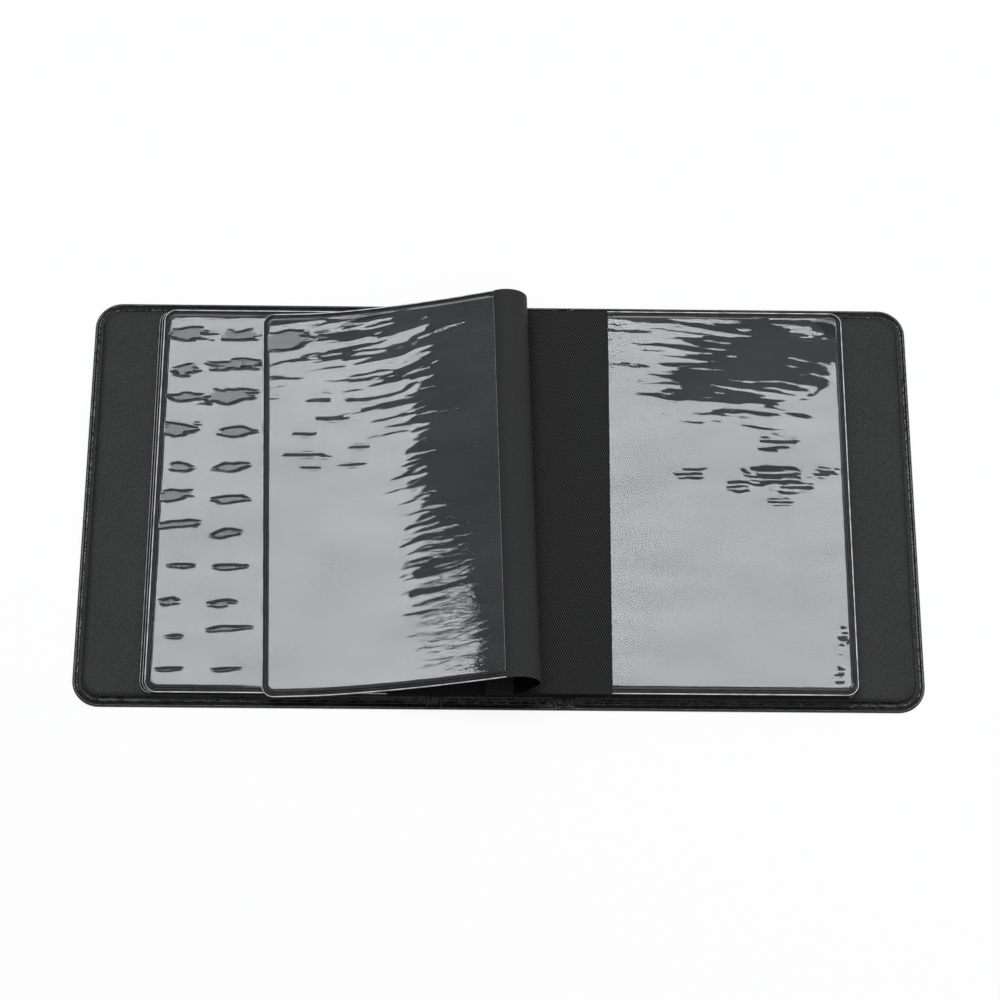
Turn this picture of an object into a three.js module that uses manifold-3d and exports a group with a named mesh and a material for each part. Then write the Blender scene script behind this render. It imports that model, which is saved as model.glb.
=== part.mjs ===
// An instant photo album lying open: padded-board vinyl covers, a riveted binding and ten pocket leaves,
// one of which stands in a loop because it is half turned. Millimetres, +X right, +Y away, +Z up,
// and the origin is on the table under the middle of the spine.
import * as THREE from "three";
import Module from "manifold-3d";

const wasm = await Module();
wasm.setup();

// Covers and spine
const COVER_HALF_WIDTH = 183;
const COVER_HALF_HEIGHT = 95.5;
const COVER_CORNER = 12;
const HINGE_X = 28;
const HINGE_GAP = 0.45;
const SKIN = 0.45;
const RIM_WIDTH = 1.5;
const RIM_HEIGHT = 1.2;
const LINING_INSET = 2.2;
const FLANGE_BOTTOM = 0.5;
const FLANGE_TOP = 0.9;
const PAD_INSET = 4.2;
const PAD_GUTTER = 3;
const LINING_TOP = 3;
const LINING_SHEET = 0.4;
const BOARD_INSET = 5.4;
const BOARD_BOTTOM = 0.55;
const BOARD_TOP = 2.5;

// Leaves
const LEAF_MARGIN = 5;
const LEAF_HALF_HEIGHT = COVER_HALF_HEIGHT - LEAF_MARGIN;
const LEAF_SETBACK = 29;
const LEAF_CORNER = 5.5;
const PAD_CLEARANCE = 0.1;
const BACKING = 0.3;
const FILM = 0.18;
const FILM_GAP = 0.08;
const FILM_START = 48;
const LEAF_PITCH = 0.93;
const FIRST_LEAF_Z = LINING_TOP + PAD_CLEARANCE + FILM + FILM_GAP + BACKING / 2;
const FOLD_X = 20;
const FOLD_PITCH = 1.08;
const FOLD_GAP = 0.4;

// The half-turned leaf
const LOOP_RADIUS = 9.8;
const LOOP_X = 4.5;
const LOOP_Z = 17.5;
const LOOP_Y = 1.3;
const LOOP_YAW = 1.9;
const FOLD_ARC = [-50, 90];
const TURN_ARC = [92, 110];
const TOUCH_DOWN_X = -85;
const TURNED_FILM_X = -0.3;
const TURNED_EDGE_X = -104.5;
const TURNED_Z = FIRST_LEAF_Z + 3 * LEAF_PITCH - 0.01;

// Binding
const TAB_BOTTOM = LINING_TOP + PAD_CLEARANCE;
const TAB_PITCH = 0.36;
const TAB_END_X = 6;
const TAB_BEND_X = 6.5;
const TAB_FLAT_X = 15;
const LAST_TAB_END = [12, 8.25];
const STRIP_BOTTOM = TAB_BOTTOM + 9 * TAB_PITCH + BACKING + 0.08;
const STRIP_TOP = STRIP_BOTTOM + 0.28;
const RIVET_MARGIN = 25.5;
const RIVET_Y = [RIVET_MARGIN - COVER_HALF_HEIGHT, 0, COVER_HALF_HEIGHT - RIVET_MARGIN];
const RIVET_RADIUS = 1.5;
const RIVET_HOLE = 1.7;
const RIVET_HEAD = 3.2;
const RIVET_HEAD_TOP = STRIP_TOP + 0.4;
const RIVET_BOTTOM = 1.95;

// Leaves from the bottom of each pile up: the level of the root tab in the binding, and how far the outer
// edge is drawn back from that of the longest leaf
const LEFT_LEAVES = [
  { name: "leaf_01", level: 1, drawnBack: 0 },
  { name: "leaf_02", level: 3, drawnBack: 1.2 },
  { name: "leaf_03", level: 5, drawnBack: 2.4 },
];
const RIGHT_LEAVES = [
  { name: "leaf_10", level: 0, drawnBack: 0.2 },
  { name: "leaf_09", level: 2, drawnBack: 0.7 },
  { name: "leaf_08", level: 4, drawnBack: 0.3 },
  { name: "leaf_07", level: 6, drawnBack: 0.8 },
  { name: "leaf_06", level: 7, drawnBack: 0.4 },
  { name: "leaf_05", level: 8, drawnBack: 0.5 },
];
const LONGEST_EDGE_X = COVER_HALF_WIDTH - LEAF_SETBACK;

const album = new THREE.Group();
album.name = "instant_photo_album";

const vinyl = () =>
  new THREE.MeshStandardMaterial({ color: 0x1d1d1e, roughness: 0.55 });
const twill = () =>
  new THREE.MeshStandardMaterial({ color: 0x18181a, roughness: 0.6 });
const film = () =>
  new THREE.MeshStandardMaterial({
    color: 0xe4e8ea,
    roughness: 0.12,
    transparent: true,
    opacity: 0.3,
  });
const board = () =>
  new THREE.MeshStandardMaterial({ color: 0x8d8474, roughness: 0.9 });
const steel = () =>
  new THREE.MeshStandardMaterial({
    color: 0xb9bbbd,
    roughness: 0.35,
    metalness: 1,
  });

function add(name, geometry, material, parent = album) {
  const mesh = new THREE.Mesh(geometry, material);
  mesh.name = name;
  parent.add(mesh);
  return mesh;
}

// Solids for cutting and joining
function solid(geometry) {
  const flat = geometry.index ? geometry.toNonIndexed() : geometry;
  const position = flat.getAttribute("position").array;
  const vertices = new Float32Array(position);
  const triangles = new Uint32Array(position.length / 3).map((_, i) => i);
  const mesh = new wasm.Mesh({
    numProp: 3,
    vertProperties: vertices,
    triVerts: triangles,
  });
  mesh.merge();
  return new wasm.Manifold(mesh);
}

function geometryOf(body) {
  const mesh = body.getMesh();
  return new THREE.BufferGeometry()
    .setAttribute("position", new THREE.BufferAttribute(mesh.vertProperties, 3))
    .setIndex(new THREE.BufferAttribute(mesh.triVerts, 1));
}

// A rectangle whose corners on the right are rounded
function outline(left, right, halfHeight, radius) {
  const shape = new THREE.Shape();
  shape.moveTo(left, -halfHeight);
  shape.lineTo(right - radius, -halfHeight);
  shape.absarc(right - radius, -halfHeight + radius, radius, -Math.PI / 2, 0);
  shape.absarc(right - radius, halfHeight - radius, radius, 0, Math.PI / 2);
  shape.lineTo(left, halfHeight);
  shape.closePath();
  return shape;
}

function plate(shape, bottom, top, segments = 8) {
  const geometry = new THREE.ExtrudeGeometry(shape, {
    depth: top - bottom,
    bevelEnabled: false,
    curveSegments: segments,
  });
  return geometry.translate(0, 0, bottom);
}

function box(x0, x1, y0, y1, z0, z1) {
  return new THREE.BoxGeometry(x1 - x0, y1 - y0, z1 - z0).translate(
    (x0 + x1) / 2,
    (y0 + y1) / 2,
    (z0 + z1) / 2,
  );
}

function peg(x, y, radius, z0, z1, sides = 20) {
  return new THREE.CylinderGeometry(radius, radius, z1 - z0, sides)
    .rotateX(Math.PI / 2)
    .translate(x, y, (z0 + z1) / 2);
}

// One cover as it lies to the right of the spine: a skin with a welded rim, a board, and a lining
// that is pressed up over the board
function coverOutline(inset, innerX) {
  const radius = Math.max(COVER_CORNER - inset, 4);
  return outline(
    innerX,
    COVER_HALF_WIDTH - inset,
    COVER_HALF_HEIGHT - inset,
    radius,
  );
}

function coverSkin() {
  const inner = HINGE_X + HINGE_GAP;
  const base = solid(plate(coverOutline(0, inner), 0, RIM_HEIGHT));
  const well = solid(
    plate(coverOutline(RIM_WIDTH, inner - 5), SKIN, RIM_HEIGHT + 1),
  );
  return base.subtract(well);
}

function coverLining() {
  const inner = HINGE_X + HINGE_GAP;
  const flange = solid(
    plate(coverOutline(LINING_INSET, inner), FLANGE_BOTTOM, FLANGE_TOP),
  );
  const pad = solid(
    plate(coverOutline(PAD_INSET, HINGE_X + PAD_GUTTER), FLANGE_BOTTOM, LINING_TOP),
  );
  const hollow = solid(
    plate(
      coverOutline(BOARD_INSET - 0.4, HINGE_X + PAD_GUTTER + 0.6),
      FLANGE_BOTTOM - 1,
      LINING_TOP - LINING_SHEET,
    ),
  );
  return flange.add(pad).subtract(hollow);
}

function coverBoard() {
  return solid(
    plate(
      coverOutline(BOARD_INSET, HINGE_X + PAD_GUTTER + 1),
      BOARD_BOTTOM,
      BOARD_TOP,
    ),
  );
}

function placeCover(name, side) {
  const group = new THREE.Group();
  group.name = name;
  const turned = (body) =>
    geometryOf(side < 0 ? body.rotate([0, 0, 180]) : body);
  add(name + "_skin", turned(coverSkin()), vinyl(), group);
  add(name + "_board", turned(coverBoard()), board(), group);
  add(name + "_lining", turned(coverLining()), vinyl(), group);
  album.add(group);
}

// The spine between the two hinge lines
function placeSpine() {
  const edge = HINGE_X - HINGE_GAP;
  const pad = HINGE_X - PAD_GUTTER;
  const h = COVER_HALF_HEIGHT;
  const skin = solid(box(-edge, edge, -h, h, 0, RIM_HEIGHT)).subtract(
    solid(
      box(-edge - 1, edge + 1, -h + RIM_WIDTH, h - RIM_WIDTH, SKIN, RIM_HEIGHT + 1),
    ),
  );
  add("spine_skin", geometryOf(skin), vinyl());

  const flangeY = h - LINING_INSET;
  const padY = h - PAD_INSET;
  const hollowY = h - BOARD_INSET + 0.4;
  let lining = solid(
    box(-edge, edge, -flangeY, flangeY, FLANGE_BOTTOM, FLANGE_TOP),
  )
    .add(solid(box(-pad, pad, -padY, padY, FLANGE_BOTTOM, LINING_TOP)))
    .subtract(
      solid(
        box(
          -pad + 0.6,
          pad - 0.6,
          -hollowY,
          hollowY,
          FLANGE_BOTTOM - 1,
          LINING_TOP - LINING_SHEET,
        ),
      ),
    );
  const boardY = h - BOARD_INSET;
  let stiffener = solid(
    box(-pad + 1, pad - 1, -boardY, boardY, BOARD_BOTTOM, BOARD_TOP),
  );
  for (const y of RIVET_Y) {
    lining = lining.subtract(solid(peg(0, y, RIVET_HOLE, 0, 5)));
    stiffener = stiffener.subtract(solid(peg(0, y, RIVET_HEAD + 0.4, 0, 5)));
  }
  add("spine_lining", geometryOf(lining), vinyl());
  add("spine_board", geometryOf(stiffener), board());
}

// Binding: each leaf has a root tab under the strip, and three rivets hold the pile to the spine lining
function band(points, thickness, halfHeight = LEAF_HALF_HEIGHT) {
  const upper = points.map(([x, z]) => [x, z + thickness / 2]);
  const lower = points.map(([x, z]) => [x, z - thickness / 2]).reverse();
  const shape = new THREE.Shape();
  [...upper, ...lower].forEach(([x, z], i) =>
    i ? shape.lineTo(x, z) : shape.moveTo(x, z),
  );
  shape.closePath();
  return new THREE.ExtrudeGeometry(shape, {
    depth: 2 * halfHeight,
    bevelEnabled: false,
  })
    .rotateX(Math.PI / 2)
    .translate(0, halfHeight, 0);
}

function withRivetHoles(body) {
  return RIVET_Y.reduce(
    (left, y) => left.subtract(solid(peg(0, y, RIVET_HOLE, 2, 9, 16))),
    body,
  );
}

function placeTab(name, level, side, points) {
  const z = TAB_BOTTOM + BACKING / 2 + TAB_PITCH * level;
  const path = [
    [-side * TAB_END_X, z],
    [side * TAB_BEND_X, z],
    ...points,
  ];
  add(name + "_tab", geometryOf(withRivetHoles(solid(band(path, BACKING)))), twill());
}

function placeBinding() {
  const strip = box(
    -TAB_END_X,
    TAB_END_X,
    -LEAF_HALF_HEIGHT,
    LEAF_HALF_HEIGHT,
    STRIP_BOTTOM,
    STRIP_TOP,
  );
  add("binding_strip", geometryOf(withRivetHoles(solid(strip))), vinyl());
  RIVET_Y.forEach((y, i) => {
    const body = solid(peg(0, y, RIVET_RADIUS, RIVET_BOTTOM, RIVET_HEAD_TOP))
      .add(solid(peg(0, y, RIVET_HEAD, RIVET_BOTTOM, BOARD_TOP)))
      .add(solid(peg(0, y, RIVET_HEAD, STRIP_TOP + 0.05, RIVET_HEAD_TOP)));
    add("rivet_" + (i + 1), geometryOf(body), steel());
  });
}

// A flat leaf: backing and a clear film on each face, welded on three sides and open towards the spine
function placeLeaf({ name, level, drawnBack }, index, side) {
  const edge = LONGEST_EDGE_X - drawnBack;
  const z = FIRST_LEAF_Z + LEAF_PITCH * index;
  const fold = foldX(side, index);
  placeTab(name, level, side, [
    [side * TAB_FLAT_X, z],
    [side * (fold - FOLD_GAP), z],
  ]);
  const group = new THREE.Group();
  group.name = name;
  const turned = (shape, bottom, top) => {
    const body = solid(plate(shape, bottom, top, 5));
    return geometryOf(side < 0 ? body.rotate([0, 0, 180]) : body);
  };
  const half = BACKING / 2;
  const sheet = outline(fold + FOLD_GAP, edge, LEAF_HALF_HEIGHT, LEAF_CORNER);
  const pocket = outline(FILM_START, edge, LEAF_HALF_HEIGHT, LEAF_CORNER);
  const off = half + FILM_GAP;
  add(name + "_backing", turned(sheet, z - half, z + half), twill(), group);
  add(name + "_film_upper", turned(pocket, z + off, z + off + FILM), film(), group);
  add(name + "_film_lower", turned(pocket, z - off - FILM, z - off), film(), group);
  album.add(group);
}

// The fold lines of a pile step outwards from the top leaf to the bottom one
function foldX(side, index) {
  const count = side < 0 ? LEFT_LEAVES.length : RIGHT_LEAVES.length;
  return FOLD_X + FOLD_PITCH * (count - 1 - index);
}

// The half-turned leaf's centre line, in its own x and z: round the loop to the crest, then down to the pile
function arc(start, end, steps) {
  return Array.from({ length: steps + 1 }, (_, i) => {
    const a = THREE.MathUtils.degToRad(start + ((end - start) * i) / steps);
    return [LOOP_X + LOOP_RADIUS * Math.cos(a), LOOP_Z + LOOP_RADIUS * Math.sin(a)];
  });
}

// The slope leaves the loop with the loop's own steepness and lies flat where it touches the pile
function slopeHeight(x) {
  const [startX, startZ] = arc(...TURN_ARC, 1)[1];
  const steepness = Math.tan(THREE.MathUtils.degToRad(TURN_ARC[1] - 90));
  const run = startX - TOUCH_DOWN_X;
  const drop = startZ - TURNED_Z;
  const share = THREE.MathUtils.clamp((x - TOUCH_DOWN_X) / run, 0, 1);
  return TURNED_Z + drop * share ** ((steepness * run) / drop);
}

function slope(from, to, steps) {
  return Array.from({ length: steps + 1 }, (_, i) => {
    const x = from + ((to - from) * i) / steps;
    return [x, slopeHeight(x)];
  });
}

// A sheet that follows a centre line, between two distances to the left of it as it runs
function follow(points, low, high) {
  const side = points.map(([x, z], i) => {
    const [ax, az] = points[Math.max(i - 1, 0)];
    const [bx, bz] = points[Math.min(i + 1, points.length - 1)];
    const length = Math.hypot(bx - ax, bz - az);
    return [x, z, -(bz - az) / length, (bx - ax) / length];
  });
  const shape = new THREE.Shape();
  side.forEach(([x, z, nx, nz], i) =>
    i
      ? shape.lineTo(x + nx * low, z + nz * low)
      : shape.moveTo(x + nx * low, z + nz * low),
  );
  [...side]
    .reverse()
    .forEach(([x, z, nx, nz]) => shape.lineTo(x + nx * high, z + nz * high));
  shape.closePath();
  return new THREE.ExtrudeGeometry(shape, {
    depth: 2 * LEAF_HALF_HEIGHT,
    bevelEnabled: false,
  })
    .rotateX(Math.PI / 2)
    .translate(0, LEAF_HALF_HEIGHT, 0);
}

// The curved sheet, with the flat end that lies on the pile and has the rounded corners
function turnedSheet(points, low, high) {
  const flat = outline(
    -TOUCH_DOWN_X - 1,
    -TURNED_EDGE_X,
    LEAF_HALF_HEIGHT,
    LEAF_CORNER,
  );
  const end = solid(plate(flat, TURNED_Z - high, TURNED_Z - low, 5));
  return solid(follow(points, low, high)).add(end.rotate([0, 0, 180]));
}

function placeTurnedLeaf() {
  placeTab("leaf_04", 9, 1, [LAST_TAB_END]);
  const pivot = new THREE.Group();
  pivot.name = "leaf_04";
  pivot.position.set(LOOP_X, LOOP_Y, 0);
  pivot.rotation.z = THREE.MathUtils.degToRad(LOOP_YAW);
  const frame = new THREE.Group();
  frame.position.set(-LOOP_X, 0, 0);
  pivot.add(frame);
  album.add(pivot);
  const half = BACKING / 2;
  const off = half + FILM_GAP;
  const fold = solid(follow(arc(...FOLD_ARC, 20), -half, half));
  add("leaf_04_fold", geometryOf(fold), twill(), frame);
  const over = arc(...TURN_ARC, 3);
  const down = slope(over.at(-1)[0], TOUCH_DOWN_X, 22);
  const whole = [...over, ...down.slice(1)];
  add("leaf_04_backing", geometryOf(turnedSheet(whole, -half, half)), twill(), frame);
  const pocket = slope(TURNED_FILM_X, TOUCH_DOWN_X, 21);
  // The line runs leftwards here, so the upper face is on its right
  add(
    "leaf_04_film_upper",
    geometryOf(turnedSheet(pocket, -off - FILM, -off)),
    film(),
    frame,
  );
  add(
    "leaf_04_film_lower",
    geometryOf(turnedSheet(pocket, off, off + FILM)),
    film(),
    frame,
  );
}

placeSpine();
placeCover("front_cover", -1);
placeCover("back_cover", 1);
LEFT_LEAVES.forEach((leaf, i) => placeLeaf(leaf, i, -1));
RIGHT_LEAVES.forEach((leaf, i) => placeLeaf(leaf, i, 1));
placeBinding();
placeTurnedLeaf();

export default album;
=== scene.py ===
"""The looks of a vinyl pocket photo album that lies open with one leaf half turned.

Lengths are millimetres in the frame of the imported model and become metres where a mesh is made.
"""
import bisect
import math

import bmesh
import bpy
from mathutils import Matrix, Vector, noise


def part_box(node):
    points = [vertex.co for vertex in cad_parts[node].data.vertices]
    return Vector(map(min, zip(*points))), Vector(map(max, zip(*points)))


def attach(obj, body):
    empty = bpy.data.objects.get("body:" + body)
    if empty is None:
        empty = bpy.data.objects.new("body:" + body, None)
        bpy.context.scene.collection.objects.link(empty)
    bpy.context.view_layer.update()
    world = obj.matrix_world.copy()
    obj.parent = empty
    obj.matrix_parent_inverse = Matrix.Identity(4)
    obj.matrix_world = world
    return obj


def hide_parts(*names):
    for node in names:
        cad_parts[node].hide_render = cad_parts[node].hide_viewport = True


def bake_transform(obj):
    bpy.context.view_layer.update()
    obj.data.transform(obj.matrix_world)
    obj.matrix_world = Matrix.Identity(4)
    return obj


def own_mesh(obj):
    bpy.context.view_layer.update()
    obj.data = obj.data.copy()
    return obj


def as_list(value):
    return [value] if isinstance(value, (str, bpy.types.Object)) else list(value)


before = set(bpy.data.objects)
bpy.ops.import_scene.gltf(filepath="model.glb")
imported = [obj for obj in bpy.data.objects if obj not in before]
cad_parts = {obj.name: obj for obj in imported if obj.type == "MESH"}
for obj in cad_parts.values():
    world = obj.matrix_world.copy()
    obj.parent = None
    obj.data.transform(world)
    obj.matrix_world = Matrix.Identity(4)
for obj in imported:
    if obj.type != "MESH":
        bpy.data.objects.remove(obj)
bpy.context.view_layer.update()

MM = 0.001

# Metres, as the shader nodes take them
TWILL_WALE = 0.00105
TWILL_RISE = 0.0021

# Covers and spine
COVER_CORNER = 12
PAD_EDGE = 31
SPINE_PAD_EDGE = 25
FLANGE_TOP = 0.9
LINING_INSET = 2.2
LINING_BOTTOM = 0.5
SKIN_CHAMFER = 0.28
SKIN_CHAMFER_WIDTH = 0.5
PAD_START = 3.6
WEB_OVERLAP = 0.4
WEB_SWELL = 1.4
FOOT_WIDTH = 4.8
HEAD_WIDTH = 4.2
SKIN_GRID = (60, 76)
LINING_GRID = (70, 90)
SPINE_SKIN_GRID = (30, 76)
SPINE_LINING_GRID = (34, 90)
WEB_GRID = (10, 90)
COVER_ARC_STEPS = 10

# Leaves
LEAF_CORNER = 5.5
HALF_BACKING = 0.15
FILM_THICKNESS = 0.18
WELD_THICKNESS = 0.07
WELD_WIDTH = 2.3
KNURL_INSET = 1.8
RIM_WIDTH = 0.5
RIDGE = (1.0, 1.25)
FILM_OVER_BACKING = 0.01
FINE_STEPS = (1.3, 0.48)
PLAIN_STEP = 6.0
BENDING_STEP = 0.6
KNURL_PITCH = 0.8
KNURL_HALF_SIZES = (0.24, 0.34, 0.1)
TAB_END = 6
TAB_BEND = 6.5
TAB_FLAT = 15

# The half-turned leaf
LOOP_RADIUS = 9.8
LOOP_CENTRE = (4.5, 17.5)
LOOP_Y = 1.3
LOOP_YAW = math.radians(1.9)
LOOP_FOOT = -50
LOOP_HANDOVER = 40
LOOP_LEAVE = 110
LOOP_ROOT_STEP = 3
LOOP_CREST_STEP = 2
ROOT_BEND = (9.6, 7.6)
TOUCH_DOWN = -85
TURNED_Z = 6.29
TURNED_EDGE = -104.5
TURNED_FILM = -0.3

# Heights of a leaf's upper face over its middle, by distance in from its welded edge
WELD_PROFILE = [
    (0.0, 0.1), (0.1, 0.27), (0.25, 0.38), (0.4, 0.42), (0.55, 0.34), (0.7, 0.16),
    (0.95, 0.16), (1.05, 0.27), (1.2, 0.27), (1.3, 0.16), (1.45, 0.14), (2.15, 0.14),
    (2.3, 0.26), (2.45, 0.38), (2.7, 0.41), (2.95, 0.41), (3.25, 0.41), (3.7, 0.41),
    (4.5, 0.41), (5.5, 0.41),
]
# The cover's tear-sealed bead and the groove inside it
BEAD_PROFILE = [
    (0.0, 0.5), (0.12, 0.86), (0.4, 1.12), (0.75, 1.2), (1.1, 1.1), (1.35, 0.85),
    (1.5, 0.58), (1.65, 0.45), (12.0, 0.45),
]
# The lining's welded flange and the rise over the board's edge
LINING_PROFILE = [
    (2.2, 0.55), (2.4, 0.84), (2.7, 0.92), (3.4, 0.88), (4.0, 0.96), (4.25, 1.35),
    (4.6, 2.15), (5.1, 2.7), (5.9, 2.94), (7.2, 3.0), (12.0, 3.0),
]
PAD_INNER_PROFILE = [(0.0, 0.9), (0.35, 1.7), (0.8, 2.45), (1.5, 2.86), (2.4, 3.0)]


def along(profile, d):
    """The height of a profile of (distance, height) points at distance d"""
    keys = [p[0] for p in profile]
    if d <= keys[0]:
        return profile[0][1]
    if d >= keys[-1]:
        return profile[-1][1]
    i = bisect.bisect_right(keys, d)
    (d0, h0), (d1, h1) = profile[i - 1], profile[i]
    t = (d - d0) / (d1 - d0)
    return h0 + (h1 - h0) * t


def smooth(a, b, x):
    """0 before a, 1 after b, and an even turn between"""
    t = min(max((x - a) / (b - a), 0), 1)
    return t * t * (3 - 2 * t)


def weld_distance(u, v, edge, half, radius):
    """How far a point lies in from the outer edge, head and foot of a sheet with round outer corners"""
    over = u - (edge - radius)
    beyond = abs(v) - (half - radius)
    if over > 0 and beyond > 0:
        return radius - math.hypot(over, beyond)
    return min(edge - u, half - abs(v))


# Mesh making
def ring(rect, radii, inset, nu, nv, arc_steps):
    """Points round a rectangle whose corners have their own radii, anticlockwise from the lower left"""
    u0, u1, v0, v1 = rect[0] + inset, rect[1] - inset, rect[2] + inset, rect[3] - inset
    r = [max(x - inset, 0) for x in radii]
    sides = [
        ((u0 + r[0], v0), (u1 - r[1], v0), nu, (u1 - r[1], v0 + r[1]), r[1], -90),
        ((u1, v0 + r[1]), (u1, v1 - r[2]), nv, (u1 - r[2], v1 - r[2]), r[2], 0),
        ((u1 - r[2], v1), (u0 + r[3], v1), nu, (u0 + r[3], v1 - r[3]), r[3], 90),
        ((u0, v1 - r[3]), (u0, v0 + r[0]), nv, (u0 + r[0], v0 + r[0]), r[0], 180),
    ]
    points = []
    for (ax, ay), (bx, by), n, (cx, cy), radius, start in sides:
        for i in range(n + 1):
            t = i / n
            points.append((ax + (bx - ax) * t, ay + (by - ay) * t))
        for k in range(1, arc_steps):
            a = math.radians(start + 90 * k / arc_steps)
            points.append((cx + radius * math.cos(a), cy + radius * math.sin(a)))
    return points


def grid_border(nu, nv, arc_steps, at):
    """The grid's border vertices in the order of a ring, with each corner repeated along its arc"""
    order = []
    corners = [(nu, 0), (nu, nv), (0, nv), (0, 0)]
    runs = [
        [(i, 0) for i in range(nu + 1)],
        [(nu, j) for j in range(nv + 1)],
        [(i, nv) for i in range(nu, -1, -1)],
        [(0, j) for j in range(nv, -1, -1)],
    ]
    for run, corner in zip(runs, corners):
        order += [at(i, j) for i, j in run]
        order += [at(*corner)] * (arc_steps - 1)
    return order


def slab(name, rect, radii, insets, nu, nv, top, bottom, place, arc_steps=6):
    """A closed sheet or pad over a rounded rectangle. top and bottom give its heights at (u, v), insets the
    rings near its edge, the last one past every corner radius, and place puts (u, v, height) in space."""
    vertices, uvs, faces = [], [], []

    def vertex(u, v, h):
        vertices.append(Vector(place(u, v, h)) * MM)
        uvs.append((u * MM, v * MM))
        return len(vertices) - 1

    def shell(height):
        rings = []
        for inset in insets[:-1]:
            points = ring(rect, radii, inset, nu, nv, arc_steps)
            rings.append([vertex(u, v, height(u, v)) for u, v in points])
        inner = insets[-1]
        u0, u1, v0, v1 = rect[0] + inner, rect[1] - inner, rect[2] + inner, rect[3] - inner
        index = {}
        for j in range(nv + 1):
            for i in range(nu + 1):
                u = u0 + (u1 - u0) * i / nu
                v = v0 + (v1 - v0) * j / nv
                index[i, j] = vertex(u, v, height(u, v))
        rings.append(grid_border(nu, nv, arc_steps, lambda i, j: index[i, j]))
        return rings, index

    def strip(outer, inner, turned):
        n = len(outer)
        for k in range(n):
            corners = [outer[k], outer[(k + 1) % n], inner[(k + 1) % n], inner[k]]
            kept = [c for i, c in enumerate(corners) if c != corners[i - 1]]
            if len(kept) > 2:
                faces.append(kept[::-1] if turned else kept)

    upper, upper_grid = shell(top)
    lower, lower_grid = shell(bottom)
    for outer, inner in zip(upper, upper[1:]):
        strip(outer, inner, False)
    for outer, inner in zip(lower, lower[1:]):
        strip(outer, inner, True)
    strip(lower[0], upper[0], False)
    for j in range(nv):
        for i in range(nu):
            cell = [(i, j), (i + 1, j), (i + 1, j + 1), (i, j + 1)]
            faces.append([upper_grid[c] for c in cell])
            faces.append([lower_grid[c] for c in reversed(cell)])
    return mesh_piece(name, vertices, faces, uvs)


def mesh_piece(name, vertices, faces, uvs=None):
    """A smooth-shaded closed mesh, its double points merged and its faces outwards"""
    mesh = bpy.data.meshes.new(name)
    mesh.from_pydata([tuple(v) for v in vertices], [], faces)
    if uvs:
        layer = mesh.uv_layers.new(name="flat")
        for loop in mesh.loops:
            layer.data[loop.index].uv = uvs[loop.vertex_index]
    body = bmesh.new()
    body.from_mesh(mesh)
    bmesh.ops.remove_doubles(body, verts=body.verts, dist=1e-7)
    bmesh.ops.dissolve_degenerate(body, edges=body.edges, dist=1e-8)
    bmesh.ops.recalc_face_normals(body, faces=body.faces)
    body.to_mesh(mesh)
    body.free()
    mesh.shade_smooth()
    piece = bpy.data.objects.new(name, mesh)
    bpy.context.collection.objects.link(piece)
    return piece


def mirrored(side):
    """Places a sheet that is drawn to the right of the spine on its own side"""
    return lambda u, v, h: (side * u, v, h)


# Materials
def new_material(name):
    """A material with its nodes, links and main shader"""
    material = bpy.data.materials.new(name)
    material.use_nodes = True
    tree = material.node_tree
    return material, tree.nodes, tree.links, tree.nodes["Principled BSDF"]


def object_place(nodes):
    """The place of a point in its piece, for the grain and dents"""
    return nodes.new("ShaderNodeTexCoord").outputs["Object"]


def grey(tone):
    """A colour without a hue"""
    return (tone, tone, tone)


def noise_node(nodes, links, source, scale, detail=2.0, roughness=0.5):
    """Noise read at a place, between 0 and 1"""
    texture = nodes.new("ShaderNodeTexNoise")
    texture.inputs["Scale"].default_value = scale
    texture.inputs["Detail"].default_value = detail
    texture.inputs["Roughness"].default_value = roughness
    links.new(source, texture.inputs["Vector"])
    return texture.outputs["Fac"]


def math_node(nodes, links, operation, a, b=None, c=None):
    """One sum of up to three numbers or sockets"""
    made = nodes.new("ShaderNodeMath")
    made.operation = operation
    for socket, value in zip(made.inputs, (a, b, c)):
        if value is None:
            continue
        if isinstance(value, (int, float)):
            socket.default_value = value
        else:
            links.new(value, socket)
    return made.outputs[0]


def ramp(nodes, links, source, stops):
    """Colours by height: stops are (position, colour)"""
    made = nodes.new("ShaderNodeValToRGB")
    elements = made.color_ramp.elements
    for i, (position, colour) in enumerate(stops):
        element = elements[i] if i < 2 else elements.new(position)
        element.position = position
        element.color = (*colour, 1)
    links.new(source, made.inputs[0])
    return made.outputs[0]


def bump(nodes, links, height, distance, strength=1.0, normal=None):
    """Relief that only the light sees, distance metres high, over an earlier one where normal is given"""
    made = nodes.new("ShaderNodeBump")
    made.inputs["Strength"].default_value = strength
    made.inputs["Distance"].default_value = distance
    links.new(height, made.inputs["Height"])
    if normal:
        links.new(normal, made.inputs["Normal"])
    return made.outputs[0]


def lining_vinyl():
    """Matt black vinyl with a fine pressed grain and a few pale specks of dust"""
    material, nodes, links, shader = new_material("lining_vinyl")
    place = object_place(nodes)
    grain = noise_node(nodes, links, place, 1900, 2)
    clouds = noise_node(nodes, links, place, 60, 3)
    specks = noise_node(nodes, links, place, 1700, 2)
    tone = ramp(nodes, links, clouds, [(0.3, grey(0.002)), (0.75, grey(0.006))])
    dust = ramp(nodes, links, specks, [(0.42, grey(0)), (0.68, grey(0.03))])
    added = nodes.new("ShaderNodeMix")
    added.data_type = "RGBA"
    added.blend_type = "ADD"
    added.inputs["Factor"].default_value = 1
    links.new(tone, added.inputs["A"])
    links.new(dust, added.inputs["B"])
    links.new(added.outputs["Result"], shader.inputs["Base Color"])
    shader.inputs["Roughness"].default_value = 0.6
    shader.inputs["Specular IOR Level"].default_value = 0.33
    links.new(bump(nodes, links, grain, 0.00012), shader.inputs["Normal"])
    return material


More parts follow.
